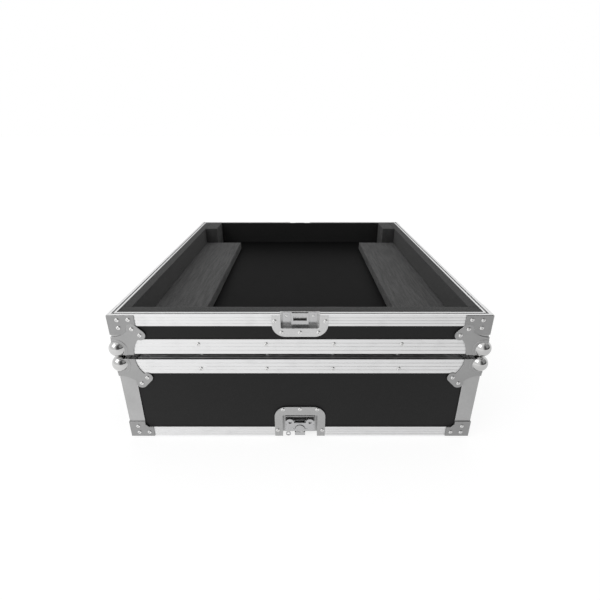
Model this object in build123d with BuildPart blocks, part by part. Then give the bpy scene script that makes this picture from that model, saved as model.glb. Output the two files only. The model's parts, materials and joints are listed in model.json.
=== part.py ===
from build123d import *
import os

# Flight case for a mixing desk, standing open: the deep lift-off lid stands mouth down on the ground and the
# shallow foam-lined tray stands on it, ball corner on ball corner.
# Millimetres, +Z up, front towards -Y, origin on the ground under the middle of the case.

os.makedirs("parts", exist_ok=True)

# Whole case, over the aluminium profiles
case_width = 677.0
case_depth = 747.0
lid_height = 180.0
tray_height = 79.0

# Board, sheet and clearances
ply = 9.0
metal = 1.5
running_gap = 0.3
bearing_gap = 0.05
mitre_gap = 0.1
seam = 0.2

# Angle profiles: double angles on the long edges, plain angles on the upright corners
angle_leg = 30.0
line_count = 3
line_width = 0.9
line_depth = 0.3

# Closing profiles: a groove round the tray, a tongue round the lid
rim_flange = 22.0
rim_head = 7.0
rim_leg = 18.0
rim_lip = 5.0
groove_width = 3.5
groove_depth = 5.5
tongue_height = 5.0

# Ball corners
ball_radius = 16.0
ball_inset = 10.0
ball_side_inset = 5.0
collar_radius = 20.0
collar_height = 2.0
corner_sheet = 1.5
corner_foot = 35.0
corner_elbow = (47.0, 30.0)
corner_hollow = (38.5, 16.5)
lobe_radius = 10.0
lobe_near = 39.0
lobe_far = 51.5

# Corner braces
rim_brace_width = 46.5
rim_brace_height = 38.0
rim_brace_drop = 0.8
rim_brace_rivets = ((16.3, 9.7), (36.0, 9.0), (16.3, 25.0))
lid_brace_width = 45.0
lid_brace_height = 36.5
lid_brace_chamfer = 7.0
lid_brace_rivets = ((15.0, 25.0), (15.3, 10.0), (35.5, 10.0))

# Rivets
rivet_radius = 3.8
rivet_height = 1.6
small_rivet_radius = 2.4
small_rivet_height = 0.6
rivet_land = 0.4
rivet_well = 0.4
edge_rivet_pitch = 123.0
edge_rivet_inset = 9.8

# Foam lining of the tray and of the lid
side_foam = 20.0
front_foam = 25.0
rear_foam = 8.0
rail_inner = 195.0
rail_depth = 46.0
block_width = 37.5
block_depth = 92.0
lid_foam = 10.0
lid_pad = 12.0

# Butterfly latches on the lid and their catches on the tray
dish_width = 100.0
dish_sheet = 1.2
recess_width = 68.5
recess_depth = 13.0
recess_corner = 3.0
latch_dish_height = 71.7
latch_dish_corner = 24.0
latch_recess_height = 52.0
catch_dish_height = 43.0
catch_dish_corner = 24.0
catch_recess_height = 26.4
latch_rivets = ((-33.5, 66.0), (0.0, 67.0), (33.5, 66.0), (-44.5, 14.5), (44.5, 14.5))
catch_rivets = ((-33.0, -34.4), (0.0, -34.4), (33.0, -34.4), (-45.0, -12.0), (45.0, -12.0))
bead_length = 58.0
bead_width = 3.4
bead_rise = 8.0
bead_height = 43.2
cover_width = 60.0
cover_low = 7.0
cover_high = 34.0
cover_notch = (20.0, 5.0)
cover_depth = 4.3
cover_sheet = 1.2
cover_wall = 1.5
lug_x = -23.5
lug_y = 0.6
lug_radius = 5.2
lug_hole = 2.8
lug_arm = 7.4
hub_height = 15.5
hub_radius = 9.6
hub_face = 0.3
hub_pocket = (7.6, 0.6)
hub_flange = 0.9
hub_lip = 0.6
hub_clearance = 0.1
crank_throw = 5.0
crank_radius = 2.5
hinge_depth = 2.4
hinge_pin = 1.0
knuckle_radius = 1.6
knuckle_length = 5.0
wing_sheet = 1.6
wing_skirt = 1.0
wing_shoulder = (56.0, 10.0)
wing_bridge = 14.5
lobe_spread = 20.0
lobe_reach = 15.3
wing_lobe_radius = 8.4
wing_hole = 3.0
wing_window = 10.2
hook_sheet = 1.6
hook_width = 24.0
hook_low = 1.0
hook_margin = 3.7
yoke_slack = 1.3
nose_width = 21.0
nose_low = -3.6
nose_high = 4.8
nose_face = 4.5
nose_sheet = 2.0
nose_lip = 2.5

# Strike plates in the catches
strike_width = 62.0
strike_height = 21.7
strike_box = 31.0
strike_face = 6.8
strike_sheet = 1.2
strike_top = 0.6
slot_width = 24.0
slot_top = 6.8
slot_bottom = 14.9
strike_rivets = ((-24.2, -7.8), (24.2, -7.8))

# Sprung handles, one on each side of the lid
handle_dish_width = 160.0
handle_dish_height = 104.0
handle_dish_corner = 12.0
handle_recess_width = 128.0
handle_recess_height = 72.0
handle_recess_depth = 14.0
handle_recess_corner = 8.0
handle_rivets = [(x, y) for x in (-72.0, 0.0, 72.0) for y in (-44.0, 44.0)] + [(-72.0, 0.0), (72.0, 0.0)]
bail_radius = 3.5
bail_half_width = 44.0
bail_drop = 46.0
bail_pivot_height = 26.0
bail_depth = 7.1
stub_radius = 3.0
boss_inner = 54.0
boss_width = 7.0
boss_height = 12.0
grip_radius = 6.6
grip_length = 76.0
spring_wire = 0.6
spring_radius = 4.3
spring_pitch = 1.7
spring_turns = 3

# Levels and faces that follow from these
ball_proud = ball_radius - ball_inset
lid_low = tongue_height
lid_high = lid_low + lid_height
tray_low = lid_high + 2 * ball_proud + running_gap
tray_high = tray_low + tray_height
board = metal + ply
rim_width = board + metal
tray_floor_top = tray_low + board
recess_back = recess_depth + dish_sheet
handle_height = lid_low + (rim_flange + lid_height - angle_leg) / 2

SIDES = ("front", "right", "back", "left")
CORNERS = ((-1, -1), (1, -1), (1, 1), (-1, 1))
LATCHES = {"front": ("front", 0.0), "back": ("back", 0.0)}


# Places on the four sides of the case

def side_frame(side):
    """Run direction, outward direction, length of a side and the case's size across it."""
    turn = SIDES.index(side)
    run = Vector(1, 0, 0).rotate(Axis.Z, 90 * turn)
    out = Vector(0, -1, 0).rotate(Axis.Z, 90 * turn)
    sizes = (case_width, case_depth)
    return run, out, sizes[turn % 2], sizes[(turn + 1) % 2]


def face_plane(side, along, height, proud=0.0):
    """A plane on a side's outer face: local X along the side, Y up, Z outward."""
    run, out, _, across = side_frame(side)
    origin = run * along + out * (across / 2 + proud) + Vector(0, 0, height)
    return Plane(origin=origin, x_dir=run, z_dir=out)


def section_plane(side, height):
    """A plane across a side's left end: local X inward, Y up, Z along the side."""
    run, out, length, across = side_frame(side)
    origin = out * (across / 2) - run * (length / 2) + Vector(0, 0, height)
    return Plane(origin=origin, x_dir=out * -1, z_dir=run)


def plan_plane(side, height):
    """A level plane: local X along the side, Y inward from its outer face."""
    run, out, _, across = side_frame(side)
    return Plane(origin=out * (across / 2) + Vector(0, 0, height), x_dir=run, z_dir=(0, 0, 1))


def write(part, name):
    part.label = name
    export_step(part, f"parts/{name}.step")


# Profiles

def angle_section(way):
    """Equal angle on an edge of the case; way is +1 where its upright leg rises from the edge."""
    with BuildSketch() as section:
        with BuildLine():
            Polyline(
                (0, 0),
                (angle_leg, 0),
                (angle_leg, way * metal),
                (metal, way * metal),
                (metal, way * angle_leg),
                (0, way * angle_leg),
                close=True,
            )
        make_face()
        steps = [angle_leg * (k + 1) / (line_count + 1) for k in range(line_count)]
        with Locations(*[(0, way * step) for step in steps]):
            Rectangle(2 * line_depth, line_width, mode=Mode.SUBTRACT)
        with Locations(*[(step, 0) for step in steps]):
            Rectangle(line_width, 2 * line_depth, mode=Mode.SUBTRACT)
    return section.sketch


def rim_section(way, mouth_low, mouth_high, mouth_depth):
    """Closing profile over a wall's edge; way is +1 where the wall rises from the edge."""
    with BuildSketch() as section:
        with BuildLine():
            Polyline(
                (0, 0),
                (mouth_low, 0),
                (mouth_low, way * mouth_depth),
                (mouth_high, way * mouth_depth),
                (mouth_high, 0),
                (rim_width, 0),
                (rim_width, way * rim_leg),
                (board, way * rim_leg),
                (board, way * rim_head),
                (metal, way * rim_head),
                (metal, way * rim_flange),
                (0, way * rim_flange),
                close=True,
            )
        make_face()
        steps = [rim_flange * (k + 1) / (line_count + 1) for k in range(line_count)]
        with Locations(*[(0, way * step) for step in steps]):
            Rectangle(2 * line_depth, line_width, mode=Mode.SUBTRACT)
    return section.sketch


def mitred_bar(side, height, section):
    """One length of profile along a side, both ends cut at 45 degrees."""
    length = side_frame(side)[2]
    reach = 2 * angle_leg
    end = length / 2 - mitre_gap / 2
    with BuildPart() as bar:
        with BuildSketch(section_plane(side, height)):
            add(section)
        extrude(amount=length)
        with BuildSketch(plan_plane(side, height - reach)):
            with BuildLine():
                Polyline((-end, 0), (end, 0), (end - reach, reach), (reach - end, reach), close=True)
            make_face()
        extrude(amount=2 * reach, mode=Mode.INTERSECT)
    return bar.part


def recess_box(side, along, edge, way, height):
    """Cuts the space of a dish's tub, from the case's edge inward, out of the part in hand."""
    with Locations(face_plane(side, along, edge)):
        Box(
            recess_width + 2 * (dish_sheet + seam),
            height + dish_sheet + seam,
            recess_back + seam,
            align=(Align.CENTER, Align.MIN if way > 0 else Align.MAX, Align.MAX),
            mode=Mode.SUBTRACT,
        )


def edge_overrun(side, along, edge, way):
    """Clears whatever stands past the case's edge in front of an open dish."""
    with Locations(face_plane(side, along, edge)):
        Box(
            recess_width + 2 * (dish_sheet + seam),
            tongue_height,
            recess_back + seam,
            align=(Align.CENTER, Align.MAX if way > 0 else Align.MIN, Align.MAX),
            mode=Mode.SUBTRACT,
        )


def corner_angles(low, high):
    """Four upright angles, one round each corner of the case."""
    with BuildPart() as angles:
        with BuildSketch(Plane.XY.offset(low)):
            for x_sign, y_sign in CORNERS:
                x, y = x_sign * case_width / 2, y_sign * case_depth / 2
                x_leg, x_skin = x - x_sign * angle_leg, x - x_sign * metal
                y_leg, y_skin = y - y_sign * angle_leg, y - y_sign * metal
                with BuildLine():
                    Polyline((x, y), (x_leg, y), (x_leg, y_skin), (x_skin, y_skin), (x_skin, y_leg), (x, y_leg), close=True)
                make_face()
        extrude(amount=high - low)
    return angles.part


def wall_panel(side, low, high, edge, way, recess_height):
    """A plywood wall, let in for the dishes on its side; front and back run over the ends of the others."""
    length = side_frame(side)[2]
    ends = metal if side in ("front", "back") else board
    with BuildPart() as wall:
        with Locations(face_plane(side, 0, low, -metal)):
            Box(length - 2 * ends, high - low, ply, align=(Align.CENTER, Align.MIN, Align.MAX))
        for latch_side, along in LATCHES.values():
            if latch_side == side:
                recess_box(side, along, edge, way, recess_height)
        if way > 0 and side in ("left", "right"):
            with Locations(face_plane(side, 0, handle_height)):
                Box(
                    handle_recess_width + 2 * (dish_sheet + seam),
                    handle_recess_height + 2 * (dish_sheet + seam),
                    2 * board,
                    mode=Mode.SUBTRACT,
                )
    return wall.part


# Plywood panels

def level_panel(low):
    """Floor of the tray or top of the lid, let in between the walls."""
    with BuildPart(Plane.XY.offset(low)) as panel:
        Box(case_width - 2 * board, case_depth - 2 * board, ply, align=(Align.CENTER, Align.CENTER, Align.MIN))
    return panel.part


for side in SIDES:
    lid_wall = wall_panel(side, lid_low + rim_head, lid_high - metal, lid_low, 1, latch_recess_height)
    write(lid_wall, f"lid_{side}_panel")
    tray_wall = wall_panel(side, tray_low + metal, tray_high - rim_head, tray_high, -1, catch_recess_height)
    write(tray_wall, f"tray_{side}_panel")
write(level_panel(lid_high - board), "lid_top_panel")
write(level_panel(tray_low + metal), "tray_floor_panel")

# Aluminium profiles

groove_end = rim_lip + groove_width
tongue = rim_section(1, rim_lip + running_gap, groove_end - running_gap, -tongue_height)
groove = rim_section(-1, rim_lip, groove_end, groove_depth)
lid_edge_bars = [mitred_bar(side, lid_high, angle_section(-1)) for side in SIDES]
tray_edge_bars = [mitred_bar(side, tray_low, angle_section(1)) for side in SIDES]
lid_rim_bars = [mitred_bar(side, lid_low, tongue) for side in SIDES]
tray_rim_bars = [mitred_bar(side, tray_high, groove) for side in SIDES]

with BuildPart() as lid_top_edges:
    add(lid_edge_bars)
write(lid_top_edges.part, "lid_top_edges")

with BuildPart() as tray_bottom_edges:
    add(tray_edge_bars)
write(tray_bottom_edges.part, "tray_bottom_edges")

with BuildPart() as lid_closing_rim:
    add(lid_rim_bars)
    for latch_side, along in LATCHES.values():
        recess_box(latch_side, along, lid_low, 1, latch_recess_height)
        edge_overrun(latch_side, along, lid_low, 1)
write(lid_closing_rim.part, "lid_closing_rim")

with BuildPart() as tray_closing_rim:
    add(tray_rim_bars)
    for latch_side, along in LATCHES.values():
        recess_box(latch_side, along, tray_high, -1, catch_recess_height)
write(tray_closing_rim.part, "tray_closing_rim")

write(corner_angles(lid_low + rim_flange, lid_high - angle_leg), "lid_corner_angles")
write(corner_angles(tray_low + angle_leg, tray_high - rim_flange), "tray_corner_angles")

# Ball corners, drawn at a corner of the case whose three faces are the planes X=0, Y=0 and Z=0

CORNER_PLANES = (
    Plane(origin=(0, 0, 0), x_dir=(1, 0, 0), z_dir=(0, -1, 0)),
    Plane(origin=(0, 0, 0), x_dir=(0, 0, 1), z_dir=(-1, 0, 0)),
    Plane(origin=(0, 0, 0), x_dir=(0, 1, 0), z_dir=(0, 0, -1)),
)
BALL_CENTRES = (
    (ball_side_inset, ball_inset),
    (ball_inset, ball_side_inset),
    (ball_side_inset, ball_side_inset),
)
LOBES = ((lobe_far, lobe_near), (lobe_near, lobe_far))


def corner_flange(wrap, grow=0.0):
    """Outline of one flange of a ball corner, reaching past the case's edges by the wrap."""
    foot_end = corner_foot + grow
    hollow = (corner_hollow[0] + grow, corner_hollow[1])
    elbow = (corner_elbow[0] + grow, corner_elbow[1])
    middle = (lobe_near + lobe_far) / 2
    with BuildSketch() as outline:
        with BuildLine():
            foot = Polyline(
                (0, foot_end),
                (-wrap, foot_end),
                (-wrap, -wrap),
                (foot_end, -wrap),
                (foot_end, 0),
            )
            ThreePointArc(foot @ 1, hollow, elbow)
            Line(elbow, elbow[::-1])
            ThreePointArc(elbow[::-1], hollow[::-1], foot @ 0)
        make_face()
        with Locations((middle, middle)):
            SlotCenterToCenter((lobe_far - lobe_near) * 2**0.5, 2 * (lobe_radius + grow), rotation=135)
    return outline.sketch


with BuildPart() as ball_corner:
    for plane, centre in zip(CORNER_PLANES, BALL_CENTRES):
        with BuildSketch(plane):
            add(corner_flange(corner_sheet))
        extrude(amount=corner_sheet)
        with BuildSketch(plane):
            with Locations(centre):
                Circle(collar_radius)
            with Locations((-corner_sheet, -corner_sheet)):
                Rectangle(2 * lobe_far, 2 * lobe_far, align=(Align.MIN, Align.MIN), mode=Mode.INTERSECT)
        extrude(amount=collar_height)
    with Locations((ball_side_inset, ball_side_inset, ball_inset)):
        Sphere(ball_radius)
    Box(2 * lobe_far, 2 * lobe_far, 2 * lobe_far, align=(Align.MIN, Align.MIN, Align.MIN), mode=Mode.SUBTRACT)

near_corner = (-case_width / 2, -case_depth / 2)
with BuildPart() as tray_ball_corners:
    with Locations((*near_corner, tray_low)):
        add(ball_corner.part)
    mirror(about=Plane.YZ)
    mirror(about=Plane.XZ)
write(tray_ball_corners.part, "tray_ball_corners")

hanging_corner = mirror(ball_corner.part, about=Plane.XY)
with BuildPart() as lid_ball_corners:
    with Locations((*near_corner, lid_high)):
        add(hanging_corner)
    mirror(about=Plane.YZ)
    mirror(about=Plane.XZ)
write(lid_ball_corners.part, "lid_ball_corners")

# Corner braces: sheet steel folded round the corners at the two closing edges

with BuildPart() as tray_corner_braces:
    for plane in CORNER_PLANES[:2]:
        upright = Location((*near_corner, tray_high - rim_brace_drop)) * plane.location
        along_x = plane is CORNER_PLANES[0]
        size = (rim_brace_width, rim_brace_height) if along_x else (rim_brace_height, rim_brace_width)
        low = (-corner_sheet, -rim_brace_height) if along_x else (-rim_brace_height, -corner_sheet)
        with BuildSketch(Plane(upright)):
            with Locations(low):
                wrap = (corner_sheet, 0) if along_x else (0, corner_sheet)
                Rectangle(size[0] + wrap[0], size[1] + wrap[1], align=(Align.MIN, Align.MIN))
        extrude(amount=corner_sheet)
        with BuildSketch(Plane(Location((*near_corner, tray_low)) * plane.location)):
            add(corner_flange(2 * corner_sheet, seam))
        extrude(amount=2 * corner_sheet, mode=Mode.SUBTRACT)
    mirror(about=Plane.YZ)
    mirror(about=Plane.XZ)
write(tray_corner_braces.part, "tray_corner_braces")

with BuildPart() as lid_corner_braces:
    for plane in CORNER_PLANES[:2]:
        with BuildSketch(Plane(Location((*near_corner, lid_low)) * plane.location)):
            along_x = plane is CORNER_PLANES[0]
            outline = (
                (-corner_sheet, 0),
                (lid_brace_width, 0),
                (lid_brace_width, rim_flange),
                (angle_leg + lid_brace_chamfer, rim_flange),
                (angle_leg, rim_flange + lid_brace_chamfer),
                (angle_leg, lid_brace_height),
                (-corner_sheet, lid_brace_height),
            )
            with BuildLine():
                Polyline(*[point if along_x else point[::-1] for point in outline], close=True)
            make_face()
        extrude(amount=corner_sheet)
    mirror(about=Plane.YZ)
    mirror(about=Plane.XZ)
write(lid_corner_braces.part, "lid_corner_braces")

# Foam in the tray: lining, floor rails and rear blocks, glued to the wood

foam_side = case_width / 2 - board - side_foam
foam_front = case_depth / 2 - board - front_foam


with BuildPart() as rim_leg_space:
    with BuildSketch(Plane.XY.offset(tray_high)):
        Rectangle(case_width, case_depth)
        Rectangle(case_width - 2 * (rim_width + seam), case_depth - 2 * (rim_width + seam), mode=Mode.SUBTRACT)
    extrude(amount=-(rim_leg + seam))


def tray_lining(side, thickness, start, end):
    """Foam against a tray wall, from start to end along it, let in for the dishes on its side."""
    with BuildPart() as foam:
        with Locations(face_plane(side, start, tray_floor_top, -board)):
            Box(end - start, tray_high - tray_floor_top, thickness, align=(Align.MIN, Align.MIN, Align.MAX))
        add(rim_leg_space.part, mode=Mode.SUBTRACT)
        for latch_side, along in LATCHES.values():
            if latch_side == side:
                recess_box(side, along, tray_high, -1, catch_recess_height)
    return foam.part


half_in = case_width / 2 - board
half_deep = case_depth / 2 - board
write(tray_lining("front", front_foam, -half_in, half_in), "tray_front_lining")
write(tray_lining("right", side_foam, -foam_front, half_deep), "tray_right_lining")
write(tray_lining("left", side_foam, -half_deep, foam_front), "tray_left_lining")
between_blocks = foam_side - block_width - seam
write(tray_lining("back", rear_foam, -between_blocks, between_blocks), "tray_rear_lining")

rail_back = half_deep - block_depth
for name, x_sign in (("left", -1), ("right", 1)):
    with BuildPart() as rail:
        with Locations((x_sign * (rail_inner + foam_side) / 2, (rail_back - foam_front) / 2, tray_floor_top)):
            Box(
                foam_side - rail_inner,
                rail_back + foam_front,
                tray_height - rail_depth - board,
                align=(Align.CENTER, Align.CENTER, Align.MIN),
            )
    write(rail.part, f"tray_{name}_rail")

with BuildPart() as tray_rear_blocks:
    with Locations(*[(x_sign * (foam_side - block_width / 2), half_deep, tray_floor_top) for x_sign in (-1, 1)]):
        Box(block_width, block_depth, tray_high - tray_floor_top, align=(Align.CENTER, Align.MAX, Align.MIN))
    add(rim_leg_space.part, mode=Mode.SUBTRACT)
write(tray_rear_blocks.part, "tray_rear_blocks")

# Foam in the lid: a pad under its top and strips round its walls, cut short at the dishes

lid_inside_top = lid_high - board
with BuildPart(Plane.XY.offset(lid_inside_top)) as lid_top_pad:
    Box(2 * half_in, 2 * half_deep, lid_pad, align=(Align.CENTER, Align.CENTER, Align.MAX))
write(lid_top_pad.part, "lid_top_pad")

lid_lining_low = lid_low + rim_leg + seam
lid_lining_high = lid_inside_top - lid_pad


def lid_strips(side):
    """Start, end, bottom and top of each strip on a side: whole between the dishes, short over and under them."""
    half = half_in if side in ("front", "back") else half_deep - lid_foam - running_gap
    tub = recess_width / 2 + dish_sheet + seam
    dishes = [
        (along, tub, lid_low, lid_low + latch_recess_height + dish_sheet + seam)
        for latch_side, along in LATCHES.values()
        if latch_side == side
    ]
    if side in ("left", "right"):
        reach = handle_recess_height / 2 + dish_sheet + seam
        tub = handle_recess_width / 2 + dish_sheet + seam
        dishes.append((0.0, tub, handle_height - reach, handle_height + reach))
    strips = []
    start = -half
    for along, tub, low, high in sorted(dishes):
        strips.append((start, along - tub, lid_lining_low, lid_lining_high))
        strips.append((along - tub, along + tub, high, lid_lining_high))
        if low > lid_lining_low:
            strips.append((along - tub, along + tub, lid_lining_low, low))
        start = along + tub
    return strips + [(start, half, lid_lining_low, lid_lining_high)]


with BuildPart() as lid_wall_lining:
    for side in SIDES:
        for start, end, low, high in lid_strips(side):
            with Locations(face_plane(side, start + seam, low, -board)):
                Box(end - start - 2 * seam, high - low, lid_foam, align=(Align.MIN, Align.MIN, Align.MAX))
write(lid_wall_lining.part, "lid_wall_lining")

# Butterfly latch, drawn with X along the side, Y up from the lid's edge and Z outward from its face


def open_dish(way, height, corner, recess_height):
    """A pressed dish that is open at the case's edge; way is +1 where it rises from that edge."""
    far = -1 if way > 0 else 0
    with BuildPart() as dish:
        with BuildSketch() as flange:
            with Locations((0, way * height / 2)):
                Rectangle(dish_width, height)
            fillet(flange.vertices().group_by(Axis.Y)[far], corner)
        extrude(amount=dish_sheet)
        with BuildSketch() as tub:
            with Locations((0, way * (recess_height + dish_sheet) / 2)):
                Rectangle(recess_width + 2 * dish_sheet, recess_height + dish_sheet)
            fillet(tub.vertices().group_by(Axis.Y)[far], recess_corner + dish_sheet)
        extrude(amount=-recess_back)
        with BuildSketch(Plane.XY.offset(dish_sheet)) as hollow:
            with Locations((0, way * recess_height / 2)):
                Rectangle(recess_width, recess_height)
            fillet(hollow.vertices().group_by(Axis.Y)[far], recess_corner)
        extrude(amount=-recess_back, mode=Mode.SUBTRACT)
    return dish.part


plain_latch_dish = open_dish(1, latch_dish_height, latch_dish_corner, latch_recess_height)
catch_dish = open_dish(-1, catch_dish_height, catch_dish_corner, catch_recess_height)

with BuildPart() as latch_dish:
    add(plain_latch_dish)
    with Locations((0, bead_height, -recess_depth)):
        Box(bead_length, bead_width, bead_rise - bead_width / 2, align=(Align.CENTER, Align.CENTER, Align.MIN))
    with Locations((0, bead_height, -recess_depth + bead_rise - bead_width / 2)):
        Cylinder(bead_width / 2, bead_length, rotation=(0, 90, 0))

hook_half = hook_width / 2
with BuildPart() as latch_cover:
    with BuildSketch(Plane.XY.offset(-cover_depth)):
        with Locations((0, (cover_low + cover_high) / 2)):
            Rectangle(cover_width, cover_high - cover_low)
        with Locations((0, cover_high)):
            Rectangle(cover_notch[0], 2 * cover_notch[1], mode=Mode.SUBTRACT)
        with Locations((lug_x, (lug_y + cover_low) / 2)):
            Rectangle(lug_arm, cover_low - lug_y)
        with Locations((lug_x, lug_y)):
            Circle(lug_radius)
            Circle(lug_hole, mode=Mode.SUBTRACT)
        with Locations((0, hub_height)):
            Circle(hub_radius + hub_clearance, mode=Mode.SUBTRACT)
    extrude(amount=-cover_sheet)
    for x_sign in (-1, 1):
        wall_x = x_sign * (hook_half + running_gap + cover_wall / 2)
        with Locations((wall_x, cover_low, -recess_depth)):
            Box(
                cover_wall,
                cover_high - cover_low,
                recess_depth - cover_depth - cover_sheet,
                align=(Align.CENTER, Align.MIN, Align.MIN),
            )

hub_back = cover_depth + cover_sheet + running_gap
with BuildPart() as latch_rotor:
    with Locations((0, hub_height, -hub_face)):
        Cylinder(hub_radius, hub_back - hub_face, align=(Align.CENTER, Align.CENTER, Align.MAX))
        Cylinder(hub_pocket[0], 2 * hub_pocket[1], mode=Mode.SUBTRACT)
    with Locations((0, hub_height, -hub_back)):
        Cylinder(hub_radius + hub_lip, hub_flange, align=(Align.CENTER, Align.CENTER, Align.MAX))
    with Locations((0, hub_height + crank_throw, -hub_back)):
        Cylinder(
            crank_radius,
            recess_depth - hub_back - 2 * running_gap,
            align=(Align.CENTER, Align.CENTER, Align.MAX),
        )
    with Locations((0, hub_height, -hinge_depth)):
        Cylinder(hinge_pin + bearing_gap, 3 * hub_radius, rotation=(0, 90, 0), mode=Mode.SUBTRACT)

with BuildPart() as latch_wing:
    with BuildSketch(Plane.XY.offset(-hinge_depth - wing_sheet / 2)):
        with Locations((0, hub_height - wing_skirt)):
            Rectangle(wing_shoulder[0], wing_shoulder[1] + wing_skirt, align=(Align.CENTER, Align.MIN))
        with Locations((0, hub_height)):
            Rectangle(2 * lobe_spread, wing_bridge, align=(Align.CENTER, Align.MIN))
        with Locations(*[(x_sign * lobe_spread, hub_height + lobe_reach) for x_sign in (-1, 1)]):
            Circle(wing_lobe_radius)
            Circle(wing_hole, mode=Mode.SUBTRACT)
        with Locations((0, hub_height)):
            Circle(wing_window, mode=Mode.SUBTRACT)
    extrude(amount=wing_sheet)
    for x_sign in (-1, 1):
        with Locations((x_sign * (wing_window + knuckle_length / 2), hub_height, -hinge_depth)):
            Cylinder(knuckle_radius, knuckle_length, rotation=(0, 90, 0))
    with Locations((0, hub_height, -hinge_depth)):
        Cylinder(hinge_pin, 2 * wing_window + knuckle_length, rotation=(0, 90, 0))

yoke_height = hub_height + crank_throw
yoke_half = crank_radius + yoke_slack
hook_back = recess_depth - running_gap
with BuildPart() as latch_hook:
    with BuildSketch(Plane.XY.offset(-hook_back)):
        with Locations((0, hook_low)):
            Rectangle(
                hook_width,
                yoke_height + yoke_half + hook_margin - hook_low,
                align=(Align.CENTER, Align.MIN),
            )
        with Locations((0, yoke_height)):
            Rectangle(2 * (crank_throw + crank_radius + running_gap), 2 * yoke_half, mode=Mode.SUBTRACT)
    extrude(amount=hook_sheet)
    with Locations((0, hook_low, -hook_back)):
        Box(nose_width, hook_sheet, hook_back - nose_face, align=(Align.CENTER, Align.MIN, Align.MIN))
    with Locations((0, nose_low, -nose_face)):
        Box(nose_width, nose_high - nose_low, nose_sheet, align=(Align.CENTER, Align.MIN, Align.MAX))
        Box(nose_width, nose_sheet, nose_sheet + nose_lip, align=(Align.CENTER, Align.MIN, Align.MAX))

# Strike plate, drawn with Y up and its top edge just under the tray's rim

strike_middle = -strike_top - strike_height / 2
with BuildPart() as strike_plate:
    with Locations((0, strike_middle, -recess_depth)):
        Box(strike_width, strike_height, strike_sheet, align=(Align.CENTER, Align.CENTER, Align.MIN))
        Box(strike_box, strike_height, recess_depth - strike_face, align=(Align.CENTER, Align.CENTER, Align.MIN))
    with Locations((0, strike_middle + strike_sheet, -recess_depth)):
        Box(
            strike_box - 2 * strike_sheet,
            strike_height,
            recess_depth - strike_face - strike_sheet,
            align=(Align.CENTER, Align.CENTER, Align.MIN),
            mode=Mode.SUBTRACT,
        )
    with Locations((0, -slot_top, -recess_depth)):
        Box(
            slot_width,
            slot_bottom - slot_top,
            recess_depth,
            align=(Align.CENTER, Align.MAX, Align.MIN),
            mode=Mode.SUBTRACT,
        )

latch_planes = {name: face_plane(side, along, lid_low) for name, (side, along) in LATCHES.items()}
catch_planes = [face_plane(side, along, tray_high) for side, along in LATCHES.values()]
for shape, planes, name in (
    (latch_dish.part, latch_planes.values(), "latch_dishes"),
    (latch_cover.part, latch_planes.values(), "latch_covers"),
    (catch_dish, catch_planes, "catch_dishes"),
    (strike_plate.part, catch_planes, "strike_plates"),
):
    with BuildPart() as group:
        with Locations(*planes):
            add(shape)
    write(group.part, name)
for piece, shape in (("rotor", latch_rotor.part), ("wing", latch_wing.part), ("hook", latch_hook.part)):
    for name, plane in latch_planes.items():
        with BuildPart() as placed:
            with Locations(plane):
                add(shape)
        write(placed.part, f"latch_{piece}_{name}")

# Sprung handle, drawn with X along the side, Y up from the middle of its dish and Z outward

with BuildPart() as handle_dish:
    with BuildSketch():
        RectangleRounded(handle_dish_width, handle_dish_height, handle_dish_corner)
    extrude(amount=dish_sheet)
    with BuildSketch():
        RectangleRounded(
            handle_recess_width + 2 * dish_sheet,
            handle_recess_height + 2 * dish_sheet,
            handle_recess_corner + dish_sheet,
        )
    extrude(amount=-(handle_recess_depth + dish_sheet))
    with BuildSketch(Plane.XY.offset(dish_sheet)):
        RectangleRounded(handle_recess_width, handle_recess_height, handle_recess_corner)
    extrude(amount=-(handle_recess_depth + dish_sheet), mode=Mode.SUBTRACT)
    for x_sign in (-1, 1):
        with Locations((x_sign * (boss_inner + boss_width / 2), bail_pivot_height, -handle_recess_depth)):
            Box(boss_width, boss_height, handle_recess_depth - hub_face, align=(Align.CENTER, Align.CENTER, Align.MIN))
    with Locations((0, bail_pivot_height, -bail_depth)):
        Cylinder(stub_radius + bearing_gap, 2 * (boss_inner + boss_width), rotation=(0, 90, 0), mode=Mode.SUBTRACT)

with BuildPart() as handle_bail:
    with Locations((0, bail_pivot_height, -bail_depth)):
        for x_sign in (-1, 1):
            with Locations((x_sign * bail_half_width, 0, 0)):
                Cylinder(bail_radius, bail_drop, rotation=(90, 0, 0), align=(Align.CENTER, Align.CENTER, Align.MIN))
                Sphere(bail_radius)
            with Locations((x_sign * bail_half_width, -bail_drop, 0)):
                Sphere(bail_radius)
            with Locations((x_sign * (bail_half_width + boss_inner + boss_width) / 2, 0, 0)):
                Cylinder(stub_radius, boss_inner + boss_width - bail_half_width, rotation=(0, 90, 0))
        with Locations((0, -bail_drop, 0)):
            Cylinder(bail_radius, 2 * bail_half_width, rotation=(0, 90, 0))

with BuildPart() as handle_grip:
    with Locations((0, bail_pivot_height - bail_drop, -bail_depth)):
        Cylinder(grip_radius, grip_length, rotation=(0, 90, 0))
        Cylinder(bail_radius + bearing_gap, grip_length, rotation=(0, 90, 0), mode=Mode.SUBTRACT)

spring_length = spring_turns * spring_pitch
spring_start = (boss_inner + bail_half_width + bail_radius - spring_length) / 2
with BuildPart() as handle_spring:
    with BuildLine() as coil:
        Helix(
            spring_pitch,
            spring_length,
            spring_radius,
            center=(spring_start, bail_pivot_height, -bail_depth),
            direction=(1, 0, 0),
        )
    with BuildSketch(Plane(origin=coil.line @ 0, z_dir=coil.line % 0)):
        Circle(spring_wire)
    sweep(is_frenet=True)
    mirror(about=Plane.YZ)
print("handle spring: least gap between turns", round(spring_pitch - 2 * spring_wire, 2), "mm")

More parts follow.
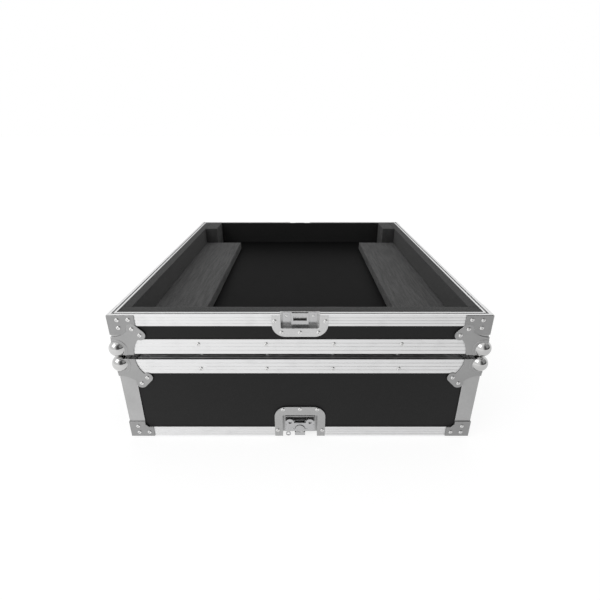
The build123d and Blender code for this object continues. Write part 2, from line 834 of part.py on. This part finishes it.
handle_planes = {side: face_plane(side, 0, handle_height) for side in ("left", "right")}
with BuildPart() as handle_springs:
    with Locations(*handle_planes.values()):
        add(handle_spring.part)
write(handle_springs.part, "handle_springs")
for piece, shape in (("dish", handle_dish.part), ("bail", handle_bail.part), ("grip", handle_grip.part)):
    for side, plane in handle_planes.items():
        with BuildPart() as placed:
            with Locations(plane):
                add(shape)
        write(placed.part, f"handle_{piece}_{side}")

# Rivets, as heads that sit on the sheet


def rivet(radius, height):
    """A domed rivet head standing on its plane, with the well of a tubular rivet in its middle."""
    rim = rivet_land * radius
    well = rivet_well * height
    with BuildPart() as head:
        with BuildSketch(Plane.XZ):
            with BuildLine():
                base = Polyline((0, well), (0, 0), (radius, 0), (radius, rivet_land * height))
                ThreePointArc(base @ 1, (0.8 * radius, 0.76 * height), (rim, height))
                Polyline((rim, height), (0.7 * rim, well), (0, well))
            make_face()
        revolve(axis=Axis.Z)
    return head.part


def on_plane(plane, points, lift=0.0):
    """Planes moved to the given points of a plane and lifted off it."""
    return [Plane(plane.location * Location((x, y, lift))) for x, y in points]


def edge_rivets(corner_height, way):
    """Rivets through both legs of the edge angles, evenly spaced about the middle of each side."""
    places = []
    for side in SIDES:
        run, out, length, across = side_frame(side)
        count = int((length / 2 - lobe_far - 2 * lobe_radius) / edge_rivet_pitch + 0.5)
        steps = [x_sign * edge_rivet_pitch * (k + 0.5) for k in range(count) for x_sign in (-1, 1)]
        upright = face_plane(side, 0, corner_height + way * (angle_leg - edge_rivet_inset))
        level = Plane(
            origin=out * (across / 2 - angle_leg + edge_rivet_inset) + Vector(0, 0, corner_height),
            x_dir=run,
            z_dir=(0, 0, -way),
        )
        points = [(step, 0) for step in steps]
        places += on_plane(upright, points) + on_plane(level, points)
    return places


def mirrored(places):
    """The places at the near left corner and their reflections at the other three."""
    everywhere = []
    for plane in places:
        for x_sign, y_sign in CORNERS:
            origin, normal = plane.origin, plane.z_dir
            everywhere.append(
                Plane(
                    origin=(-x_sign * origin.X, -y_sign * origin.Y, origin.Z),
                    z_dir=(-x_sign * normal.X, -y_sign * normal.Y, normal.Z),
                )
            )
    return everywhere


def corner_places(height, way, brace_edge, brace_way, brace_points):
    """Rivet places of the ball corners and braces at the near left corner of the case."""
    places = []
    for index, plane in enumerate(CORNER_PLANES):
        points = LOBES if index != 0 else [(a, way * b) for a, b in LOBES]
        if index == 1:
            points = [(way * a, b) for a, b in LOBES]
        if index == 2 and way < 0:
            plane = Plane(origin=plane.origin, x_dir=plane.x_dir, z_dir=(0, 0, 1))
            points = [(a, -b) for a, b in LOBES]
        base = Plane(Location((*near_corner, height)) * plane.location)
        places += on_plane(base, points, corner_sheet)
        if index < 2:
            points = [(a, brace_way * b) for a, b in brace_points]
            if index == 1:
                points = [(brace_way * b, a) for a, b in brace_points]
            base = Plane(Location((*near_corner, brace_edge)) * plane.location)
            places += on_plane(base, points, corner_sheet)
    return places


rivet_head = rivet(rivet_radius, rivet_height)
small_rivet_head = rivet(small_rivet_radius, small_rivet_height)

lid_places = edge_rivets(lid_high, -1)
lid_places += mirrored(corner_places(lid_high, -1, lid_low, 1, lid_brace_rivets))
for plane in latch_planes.values():
    lid_places += on_plane(plane, latch_rivets, dish_sheet)
for plane in handle_planes.values():
    lid_places += on_plane(plane, handle_rivets, dish_sheet)
cover_points = [(x_sign * lobe_spread, hub_height + lobe_reach) for x_sign in (-1, 1)]
cover_places = []
for plane in latch_planes.values():
    cover_places += on_plane(plane, cover_points, -cover_depth)
with BuildPart() as lid_rivets:
    with Locations(*lid_places):
        add(rivet_head)
    with Locations(*cover_places):
        add(small_rivet_head)
write(lid_rivets.part, "lid_rivets")

tray_places = edge_rivets(tray_low, 1)
tray_places += mirrored(corner_places(tray_low, 1, tray_high, -1, rim_brace_rivets))
strike_places = []
for plane in catch_planes:
    tray_places += on_plane(plane, catch_rivets, dish_sheet)
    strike_places += on_plane(plane, strike_rivets, strike_sheet - recess_depth)
with BuildPart() as tray_rivets:
    with Locations(*tray_places):
        add(rivet_head)
    with Locations(*strike_places):
        add(small_rivet_head)
write(tray_rivets.part, "tray_rivets")
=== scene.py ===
import json
import math

import bmesh
import bpy
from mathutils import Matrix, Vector, noise


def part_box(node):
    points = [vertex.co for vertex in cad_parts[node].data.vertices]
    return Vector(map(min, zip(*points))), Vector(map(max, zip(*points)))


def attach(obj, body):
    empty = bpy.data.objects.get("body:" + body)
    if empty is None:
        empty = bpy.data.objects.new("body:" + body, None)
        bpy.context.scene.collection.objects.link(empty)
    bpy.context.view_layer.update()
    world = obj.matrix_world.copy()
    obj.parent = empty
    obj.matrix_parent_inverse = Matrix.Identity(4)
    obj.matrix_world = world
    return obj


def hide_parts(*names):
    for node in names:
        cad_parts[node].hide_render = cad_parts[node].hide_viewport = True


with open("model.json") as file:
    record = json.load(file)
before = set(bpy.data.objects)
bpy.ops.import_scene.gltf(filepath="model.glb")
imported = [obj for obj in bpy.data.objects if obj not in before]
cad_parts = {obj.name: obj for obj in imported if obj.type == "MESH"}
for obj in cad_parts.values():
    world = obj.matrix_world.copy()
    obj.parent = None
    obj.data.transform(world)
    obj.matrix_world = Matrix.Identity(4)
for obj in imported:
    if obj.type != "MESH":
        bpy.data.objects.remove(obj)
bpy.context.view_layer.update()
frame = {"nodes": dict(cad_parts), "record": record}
nodes = frame["nodes"]

# Half sizes of the case over its profiles, in metres, for materials that follow its sides
HALF_WIDTH, HALF_DEPTH = 0.3385, 0.3735

# Ball corners: how far the balls' centres lie in from sides and edges, their radius, and a margin round it
BALL_SIDE_INSET, BALL_INSET, BALL_RADIUS, BALL_MARGIN = 0.005, 0.010, 0.016, 0.0003

# Heights of the lid's top and the tray's bottom, where the ball corners meet
LID_TOP, TRAY_BOTTOM = 0.185, 0.1973

# Camera: its place, how many degrees it looks down, and its sensor and lens in millimetres
CAMERA_PLACE, CAMERA_TILT = (0.0, -0.988, 0.5743), 23.68
SENSOR_WIDTH, LENS = 36.0, 23.4

# Floor: half its size, how far it lies under the case, its paint for bounced light, and that for the shadow
FLOOR_HALF, FLOOR_DROP = 30.0, 0.0005
FLOOR_PAINT, SHADOW_PAINT = (0.78, 0.82), 0.26

# Glow of the floor where it is seen: near the case and far from it, changing over between two distances
FLOOR_GLOW, GLOW_REACH = (0.84, 0.92), (0.8, 2.0)

# Reflections see the floor brighter on the key lamp's side and darker on the other, fully from this far out
KEY_SIDE, FAR_SIDE, SIDE_REACH = 1.14, 0.84, 0.45

# Room: how bright it is as a light on the case, and how bright reflections see its dim corner
AMBIENT_LEVEL, DIM_LEVEL = 0.5, 0.10

# The way to the dim corner, and the cosines of the angles from it where the dimming begins and is full
DIM_CORNER = Vector((0.65, -0.65, 0.35)).normalized()
DIM_SPREAD = (0.55, 0.85)

# Area lamps: place, size and power, all aimed at one point inside the case
LAMP_AIM = Vector((0.0, 0.0, 0.15))
LAMPS = {
    "key": ((-1.7, -1.6, 2.1), 1.7, 16.0),
    "fill": ((1.9, -1.4, 1.6), 1.8, 3.0),
    "top": ((0.0, 0.5, 2.6), 2.0, 8.0),
}

# Metal pieces: radius of the soft, rounded edges of each kind, which also sets the width of their painted
# highlight
PROFILE_EDGE, SHEET_EDGE, UPRIGHT_EDGE, POLISHED_EDGE = 0.0005, 0.0008, 0.0014, 0.0004
# Painted shade darkens metal colour where another face lies within this distance
SHADE_REACH = 0.005

# Warm tint of the bright plating
WARM = (1, 0.995, 0.985)

# Foam faces: spacing of the cuts across them, and depth and noise scales of their broad and fine unevenness
FOAM_CELL, FOAM_WAVINESS = 0.03, 0.0004
BROAD_SWELL, FINE_SWELL = 19.0, 70.0

# Foam edges: width of their softening, and the angle in radians past which an edge is softened
FOAM_EDGE, FOAM_SHARP = 0.0016, 0.6


# Node trees

class Nodes:
    """A node tree with short calls for the nodes used here."""

    def __init__(self, tree):
        self.tree = tree

    def add(self, kind, inputs=None, **settings):
        """A new node with its settings and with its inputs linked or set."""
        node = self.tree.nodes.new(kind)
        for key, value in settings.items():
            setattr(node, key, value)
        for key, value in (inputs or {}).items():
            if isinstance(value, bpy.types.NodeSocket):
                self.tree.links.new(value, node.inputs[key])
            else:
                node.inputs[key].default_value = value
        return node

    def place(self):
        return self.add("ShaderNodeTexCoord").outputs["Object"]

    def axes(self):
        return self.add("ShaderNodeSeparateXYZ", {0: self.place()}).outputs

    def length(self, vector):
        return self.add("ShaderNodeVectorMath", {0: vector}, operation="LENGTH").outputs["Value"]

    def dot(self, first, second):
        node = self.add("ShaderNodeVectorMath", {0: first, 1: second}, operation="DOT_PRODUCT")
        return node.outputs["Value"]

    def stretched(self, scale):
        return self.add("ShaderNodeMapping", {"Vector": self.place(), "Scale": scale}).outputs[0]

    def noise(self, scale, detail, stretch=(1, 1, 1), rough=0.5):
        settings = {"Vector": self.stretched(stretch), "Scale": scale, "Detail": detail, "Roughness": rough}
        return self.add("ShaderNodeTexNoise", settings).outputs["Fac"]

    def cells(self, scale):
        settings = {"Vector": self.stretched((1, 1, 1)), "Scale": scale}
        return self.add("ShaderNodeTexVoronoi", settings).outputs["Distance"]

    def remap(self, value, low, high, to_low, to_high):
        ends = {"Value": value, "From Min": low, "From Max": high, "To Min": to_low, "To Max": to_high}
        return self.add("ShaderNodeMapRange", ends).outputs[0]

    def math(self, operation, *values):
        return self.add("ShaderNodeMath", dict(enumerate(values)), operation=operation).outputs[0]

    def times(self, value, factor):
        return self.math("MULTIPLY", value, factor)

    def rest_of(self, mask):
        return self.math("SUBTRACT", 1.0, mask)

    def choose(self, mask, inside, outside):
        """One value where the mask is 1 and the other where it is 0."""
        return self.math("ADD", self.times(inside, mask), self.times(outside, self.rest_of(mask)))

    def mix(self, factor, first, second):
        """The second colour laid over the first by the factor."""
        return self.add("ShaderNodeMix", {0: factor, 6: first, 7: second}, data_type="RGBA").outputs[2]

    def bump(self, height, strength, distance, normal=None):
        ends = {"Height": height, "Strength": strength, "Distance": distance}
        if normal is not None:
            ends["Normal"] = normal
        return self.add("ShaderNodeBump", ends).outputs[0]


class Shader(Nodes):
    """The nodes of a new material."""

    def __init__(self, name):
        self.material = bpy.data.materials.new(name)
        self.material.use_nodes = True
        super().__init__(self.material.node_tree)
        self.tree.nodes.clear()
        self.output = self.add("ShaderNodeOutputMaterial")

    def show(self, surface):
        self.tree.links.new(surface, self.output.inputs["Surface"])
        return self.material

    def finish(self, color, roughness, metallic, normal, **more):
        ends = {"Base Color": color, "Roughness": roughness, "Metallic": metallic, "Normal": normal}
        ends.update({key.replace("_", " "): value for key, value in more.items()})
        return self.show(self.add("ShaderNodeBsdfPrincipled", ends).outputs[0])


def grey(value, tint=(1, 1, 1)):
    return (value * tint[0], value * tint[1], value * tint[2], 1.0)


# Camera, floor and light

def set_camera():
    camera = bpy.data.objects.new("camera", bpy.data.cameras.new("camera"))
    camera.data.sensor_width = SENSOR_WIDTH
    camera.data.lens = LENS
    camera.location = CAMERA_PLACE
    camera.rotation_euler = (math.radians(90 - CAMERA_TILT), 0, 0)
    bpy.context.collection.objects.link(camera)
    bpy.context.scene.camera = camera
    bpy.context.scene.view_settings.view_transform = "Standard"


def stage_material():
    """Pale floor that goes white for the camera and for reflections and keeps a light shadow."""
    s = Shader("stage_floor")
    path = s.add("ShaderNodeLightPath").outputs
    glossy = path["Is Glossy Ray"]
    seen = s.math("MAXIMUM", path["Is Camera Ray"], glossy)
    seen = s.math("MAXIMUM", seen, path["Is Transmission Ray"])
    paint_color = s.mix(s.noise(3.0, 2.0), *[grey(tone) for tone in FLOOR_PAINT])
    paint = s.add("ShaderNodeBsdfDiffuse", {"Color": paint_color}).outputs[0]
    shadow_paint = s.add("ShaderNodeBsdfDiffuse", {"Color": grey(SHADOW_PAINT)}).outputs[0]
    by_side = s.remap(s.axes()[0], -SIDE_REACH, SIDE_REACH, KEY_SIDE, FAR_SIDE)
    keyed = s.choose(glossy, by_side, 1.0)
    level = s.times(s.remap(s.length(s.place()), *GLOW_REACH, *FLOOR_GLOW), keyed)
    glow = s.add("ShaderNodeEmission", {"Strength": level}).outputs[0]
    shown = s.add("ShaderNodeAddShader", {0: shadow_paint, 1: glow}).outputs[0]
    return s.show(s.add("ShaderNodeMixShader", {0: seen, 1: paint, 2: shown}).outputs[0])


def lay_floor():
    mesh = bpy.data.meshes.new("floor")
    corners = [(x * FLOOR_HALF, y * FLOOR_HALF, 0) for x, y in ((-1, -1), (1, -1), (1, 1), (-1, 1))]
    mesh.from_pydata(corners, [], [(0, 1, 2, 3)])
    mesh.materials.append(stage_material())
    floor = bpy.data.objects.new("floor", mesh)
    floor.location.z = -FLOOR_DROP
    bpy.context.collection.objects.link(floor)


def light_world():
    """White all round for the camera; reflections see it dim towards the front right of the room."""
    world = bpy.data.worlds.new("studio")
    bpy.context.scene.world = world
    world.use_nodes = True
    background = world.node_tree.nodes["Background"]
    w = Nodes(world.node_tree)
    path = w.add("ShaderNodeLightPath").outputs
    toward = w.dot(w.add("ShaderNodeTexCoord").outputs["Generated"], DIM_CORNER)
    room = w.remap(toward, *DIM_SPREAD, 1.0, DIM_LEVEL)
    unseen = w.remap(path["Is Glossy Ray"], 0.0, 1.0, AMBIENT_LEVEL, room)
    level = w.remap(path["Is Camera Ray"], 0.0, 1.0, unseen, 1.0)
    w.tree.links.new(level, background.inputs["Strength"])
    background.inputs["Color"].default_value = grey(1.0)


def hang_lamp(name, place, size, power):
    lamp = bpy.data.objects.new(name, bpy.data.lights.new(name, "AREA"))
    lamp.data.size = size
    lamp.data.energy = power
    lamp.location = place
    lamp.rotation_euler = (LAMP_AIM - Vector(place)).to_track_quat("-Z", "Y").to_euler()
    bpy.context.collection.objects.link(lamp)


set_camera()
lay_floor()
light_world()
for name, (place, size, power) in LAMPS.items():
    hang_lamp(name, place, size, power)


# Materials

def along_the_side(s):
    """1 on the front and rear bars and 0 on the side bars, changing over at the mitres."""
    axes = s.axes()
    from_side = s.math("SUBTRACT", HALF_WIDTH, s.math("ABSOLUTE", axes[0]))
    from_front = s.math("SUBTRACT", HALF_DEPTH, s.math("ABSOLUTE", axes[1]))
    return s.math("GREATER_THAN", from_side, from_front)


def on_a_ball(s):
    """1 on the balls of the ball corners and 0 on their plates."""
    axes = s.axes()
    off_x = s.math("SUBTRACT", s.math("ABSOLUTE", axes[0]), HALF_WIDTH - BALL_SIDE_INSET)
    off_y = s.math("SUBTRACT", s.math("ABSOLUTE", axes[1]), HALF_DEPTH - BALL_SIDE_INSET)
    off_z = s.math("MINIMUM", *[
        s.math("ABSOLUTE", s.math("SUBTRACT", axes[2], height))
        for height in (LID_TOP - BALL_INSET, TRAY_BOTTOM + BALL_INSET)
    ])
    away = s.add("ShaderNodeCombineXYZ", {0: off_x, 1: off_y, 2: off_z}).outputs[0]
    return s.math("LESS_THAN", s.length(away), BALL_RADIUS + BALL_MARGIN)


def rounded(s, radius):
    """Normals of softly rounded edges, and 1 along those edges fading to 0 on the faces."""
    soft = s.add("ShaderNodeBevel", {"Radius": radius}, samples=6).outputs[0]
    flat = s.add("ShaderNodeNewGeometry").outputs["Normal"]
    return soft, s.remap(s.dot(soft, flat), 0.80, 0.995, 1.0, 0.0)


def painted_highlight_and_shade(s, color, edge, tone, painted_shade, tint=(1, 1, 1)):
    """Painted highlight along rounded edges, made patchy by noise, and painted shade where other faces lie
    near.
    """
    # Painted highlight: the edge mask, broken up by noise, lightens the colour along edges
    edge_highlight = s.times(edge, s.remap(s.noise(90.0, 4.0), 0.3, 0.6, 0.35, 0.9))
    color = s.mix(edge_highlight, color, grey(min(tone * 1.7, 0.95), tint))
    # Painted shade: where ambient occlusion finds other faces near, the colour goes darker
    unoccluded = s.add("ShaderNodeAmbientOcclusion", {"Distance": SHADE_REACH}, samples=8).outputs["AO"]
    return s.mix(s.remap(unoccluded, 0.25, 0.95, painted_shade, 0.0), color, grey(tone * 0.25))


def plated(s, tone, painted_shade, tint=(1, 1, 1), spots=0.2, edge_width=SHEET_EDGE):
    """Cloudy, spotted plating on rolled sheet, with painted edge highlight and painted shade: its colour, its
    grain and its normals.
    """
    grain = s.noise(1.0, 3.0, (420, 420, 2200))
    clouds = s.noise(26.0, 4.0)
    crystals = s.cells(260.0)
    color = s.mix(clouds, grey(tone * 0.86, tint), grey(tone * 1.08, tint))
    color = s.mix(s.times(crystals, spots), color, grey(tone * 0.72, tint))
    # The rounded-edge mask also drives a painted highlight in the colour
    soft, edge = rounded(s, edge_width)
    return painted_highlight_and_shade(s, color, edge, tone, painted_shade, tint), grain, soft


def extrusion(name, tone, roughness):
    """Drawn aluminium: die lines along each bar, faint handling marks, slightly cloudy."""
    s = Shader(name)
    lines_x = s.noise(1.0, 2.0, (6, 2600, 2600))
    lines_y = s.noise(1.0, 2.0, (2600, 6, 2600))
    lines = s.choose(along_the_side(s), lines_x, lines_y)
    clouds = s.noise(14.0, 4.0)
    smudges = s.remap(s.noise(38.0, 5.0), 0.5, 0.72, 0.0, 1.0)
    color = s.mix(lines, grey(tone * 0.92), grey(tone * 1.04, (1, 1, 1.005)))
    color = s.mix(s.times(clouds, 0.3), color, grey(tone * 0.84))
    color = s.mix(s.times(smudges, 0.14), color, grey(tone * 0.66))
    drawn = s.remap(lines, 0.2, 0.8, roughness - 0.06, roughness + 0.08)
    rough = s.math("ADD", drawn, s.times(smudges, 0.08))
    soft, edge = rounded(s, PROFILE_EDGE)
    # Painted highlight at half strength along rounded edges, and light painted shade near other faces
    color = painted_highlight_and_shade(s, color, s.times(edge, 0.5), tone, painted_shade=0.25)
    return s.finish(color, rough, 1.0, s.bump(lines, 0.10, 0.0002, soft))


def sheet_metal(name, tone, roughness, grain_depth=0.25, painted_shade=0.2, **plating):
    """Pressed and plated sheet: fine rolled grain, cloudy plating, painted highlight on rounded edges and
    painted shade near other faces.
    """
    s = Shader(name)
    color, grain, soft = plated(s, tone, painted_shade, **plating)
    rough = s.remap(grain, 0.25, 0.75, roughness - 0.07, roughness + 0.09)
    return s.finish(color, rough, 1.0, s.bump(grain, grain_depth, 0.00025, soft))


def polished(name, tone, roughness):
    """Bright plating: nearly a mirror, with a light haze of polishing marks."""
    s = Shader(name)
    haze = s.noise(70.0, 5.0)
    marks = s.noise(1.0, 2.0, (900, 900, 140))
    color = s.mix(haze, grey(tone * 0.94), grey(tone * 1.03, WARM))
    rough = s.remap(s.math("ADD", haze, marks), 0.6, 1.4, roughness, roughness + 0.1)
    soft, edge = rounded(s, POLISHED_EDGE)
    # Painted highlight at 0.4 strength along rounded edges, and painted shade near other faces
    color = painted_highlight_and_shade(s, color, s.times(edge, 0.4), tone, painted_shade=0.5)
    return s.finish(color, rough, 1.0, s.bump(marks, 0.03, 0.0001, soft))


def ball_plating(sheet_tone, ball_tone):
    """Ball corners: a bright polished ball on plates of dull plated sheet."""
    s = Shader("ball_corner_plating")
    ball = on_a_ball(s)
    # Ball corner plates: painted edge highlight and strong painted shade near other faces
    sheet, grain, soft = plated(s, sheet_tone, painted_shade=0.6)
    bright = s.mix(s.noise(70.0, 5.0), grey(ball_tone * 0.95), grey(ball_tone * 1.03, WARM))
    dull = s.remap(grain, 0.25, 0.75, 0.28, 0.44)
    normal = s.bump(s.times(grain, s.rest_of(ball)), 0.2, 0.00025, soft)
    return s.finish(s.mix(ball, sheet, bright), s.choose(ball, 0.06, dull), 1.0, normal)


def laminate(name, tone, gloss):
    """Black textured laminate: a fine pebbled emboss with a dull sheen and faint scuffs."""
    s = Shader(name)
    pebbles = s.cells(620.0)
    fine = s.noise(900.0, 3.0)
    broad = s.noise(9.0, 4.0)
    scuffs = s.remap(s.noise(1.0, 4.0, (26, 26, 160)), 0.60, 0.72, 0.0, 1.0)
    color = s.mix(broad, grey(tone * 0.8), grey(tone * 1.2, (1, 1, 1.03)))
    color = s.mix(s.times(pebbles, 0.5), color, grey(tone * 1.7))
    color = s.mix(s.times(scuffs, 0.1), color, grey(tone * 3.5))
    rough = s.math("ADD", s.remap(fine, 0.3, 0.7, 0.5, 0.64), s.times(scuffs, 0.05))
    normal = s.bump(pebbles, 0.35, 0.0004, s.bump(fine, 0.2, 0.0002))
    return s.finish(color, rough, 0.0, normal, Specular_IOR_Level=gloss)


def foam(name, tone, streaks=0.0):
    """Open-cell foam: a dark matt ground full of small pores with lighter rims; streaks run front to back."""
    s = Shader(name)
    pores = s.cells(520.0)
    small = s.cells(1250.0)
    fibres = s.noise(260.0, 5.0, rough=0.7)
    broad = s.noise(12.0, 3.0)
    brushed = s.noise(1.0, 4.0, (210, 16, 60), 0.65)
    color = s.mix(s.remap(pores, 0.1, 0.6, 0.0, 1.0), grey(tone * 0.45), grey(tone * 1.35))
    color = s.mix(s.times(s.remap(fibres, 0.45, 0.65, 0.0, 1.0), 0.5), color, grey(tone * 1.7))
    color = s.mix(s.times(broad, 0.35), color, grey(tone * 0.7))
    color = s.mix(s.times(s.remap(brushed, 0.40, 0.62, 0.0, 1.0), streaks), color, grey(tone * 2.4))
    height = s.math("ADD", s.times(pores, 0.7), s.times(small, 0.3))
    normal = s.bump(height, 0.85, 0.0011, s.bump(fibres, 0.5, 0.0006))
    return s.finish(color, 0.93, 0.0, normal, Specular_IOR_Level=0.12, Sheen_Weight=0.12, Sheen_Roughness=0.6)


def rubber():
    """Moulded black rubber with a fine matt stipple."""
    s = Shader("rubber")
    stipple = s.cells(1500.0)
    dust = s.noise(60.0, 4.0)
    color = s.mix(dust, grey(0.014), grey(0.03))
    rough = s.remap(dust, 0.3, 0.7, 0.55, 0.72)
    return s.finish(color, rough, 0.0, s.bump(stipple, 0.35, 0.0003), Specular_IOR_Level=0.35)


# Finish of each of the record's material slots
MATERIALS = {
    "aluminium_profile": extrusion("profile", tone=0.78, roughness=0.33),
    "black_laminate": laminate("laminate", tone=0.0095, gloss=0.25),
    # Brace sheet: strong painted shade near other faces
    "zinc_sheet": sheet_metal("brace_sheet", tone=0.33, roughness=0.36, painted_shade=0.6),
    "bright_steel": polished("bright_plating", tone=0.78, roughness=0.07),
    "rivet_steel": polished("rivet_plating", tone=0.74, roughness=0.16),
    "pressed_dish": sheet_metal("dish_sheet", tone=0.60, roughness=0.30, grain_depth=0.2),
    "plated_latch": sheet_metal(
        "latch_plating", tone=0.50, roughness=0.20, grain_depth=0.12, tint=(1, 1, 1.01), spots=0.1
    ),
    "black_rubber": rubber(),
    "grey_foam": foam("foam", tone=0.042),
}

# Nodes whose finish differs a little from the rest of their slot
# Upright angles: a wider edge radius gives a wider painted highlight along their edges
UPRIGHT = sheet_metal("upright_sheet", tone=0.44, roughness=0.34, edge_width=UPRIGHT_EDGE)
BALL_CORNER = ball_plating(sheet_tone=0.37, ball_tone=0.55)
RAIL = foam("rail_foam", tone=0.050, streaks=0.5)
FINISHES = {
    "lid_corner_angles": UPRIGHT,
    "tray_corner_angles": UPRIGHT,
    "lid_ball_corners": BALL_CORNER,
    "tray_ball_corners": BALL_CORNER,
    "latch_dishes": sheet_metal("latch_dish_sheet", tone=0.42, roughness=0.30, grain_depth=0.2),
    "tray_floor_panel": laminate("tray_floor_laminate", tone=0.005, gloss=0.03),
    "tray_back_panel": laminate("rear_wall_laminate", tone=0.010, gloss=0.1),
    "tray_left_rail": RAIL,
    "tray_right_rail": RAIL,
    "tray_rear_lining": foam("rear_lining_foam", tone=0.010),
}

slots = {piece["node"]: piece["material_slot"] for piece in frame["record"]["subparts"]}


def finish_of(node):
    return FINISHES.get(node, MATERIALS[slots[node]])


for name, node in nodes.items():
    if not node.material_slots:
        node.data.materials.append(finish_of(name))
    for holder in node.material_slots:
        holder.link = "OBJECT"
        holder.material = finish_of(name)


# Foam pieces: each cut from its solid's shape, with softened edges and an uneven cut surface

def body_of(node):
    return next(body for body, members in frame["record"]["behaviour"]["bodies"].items() if node in members)


def cut_through(work, low, high):
    """Cuts the shape's faces by evenly spaced planes across each axis, so that its surface can swell."""
    for axis in range(3):
        span = high[axis] - low[axis]
        count = max(1, round(span / FOAM_CELL))
        normal = [float(index == axis) for index in range(3)]
        for step in range(1, count):
            place = [0.0, 0.0, 0.0]
            place[axis] = low[axis] + span * step / count
            geometry = work.verts[:] + work.edges[:] + work.faces[:]
            bmesh.ops.bisect_plane(work, geom=geometry, plane_co=place, plane_no=normal)


def foam_mesh(node):
    """The solid's shape with softened edges and a slightly uneven cut surface."""
    mesh = nodes[node].data.copy()
    work = bmesh.new()
    work.from_mesh(mesh)
    bmesh.ops.remove_doubles(work, verts=work.verts, dist=1e-6)
    bmesh.ops.dissolve_limit(work, angle_limit=math.radians(1), verts=work.verts, edges=work.edges)
    cut_through(work, *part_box(node))
    folds = [edge for edge in work.edges if len(edge.link_faces) == 2]
    sharp = [edge for edge in folds if edge.calc_face_angle(0) > FOAM_SHARP]
    bmesh.ops.bevel(
        work, geom=sharp, offset=FOAM_EDGE, segments=2, profile=0.6, affect="EDGES", clamp_overlap=True
    )
    work.normal_update()
    for vertex in work.verts:
        broad = noise.noise(vertex.co * BROAD_SWELL) * FOAM_WAVINESS
        fine = noise.noise(vertex.co * FINE_SWELL) * FOAM_WAVINESS * 0.5
        vertex.co += vertex.normal * (broad + fine - FOAM_WAVINESS)
    work.to_mesh(mesh)
    work.free()
    mesh.materials.clear()
    mesh.materials.append(finish_of(node))
    mesh.shade_smooth()
    return mesh


def foam_piece(node):
    """A foam piece that stands for its solid and moves with it."""
    piece = bpy.data.objects.new(node + "_foam", foam_mesh(node))
    bpy.context.collection.objects.link(piece)
    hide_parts(node)
    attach(piece, body_of(node))


for node in nodes:
    if slots[node] == "grey_foam":
        foam_piece(node)
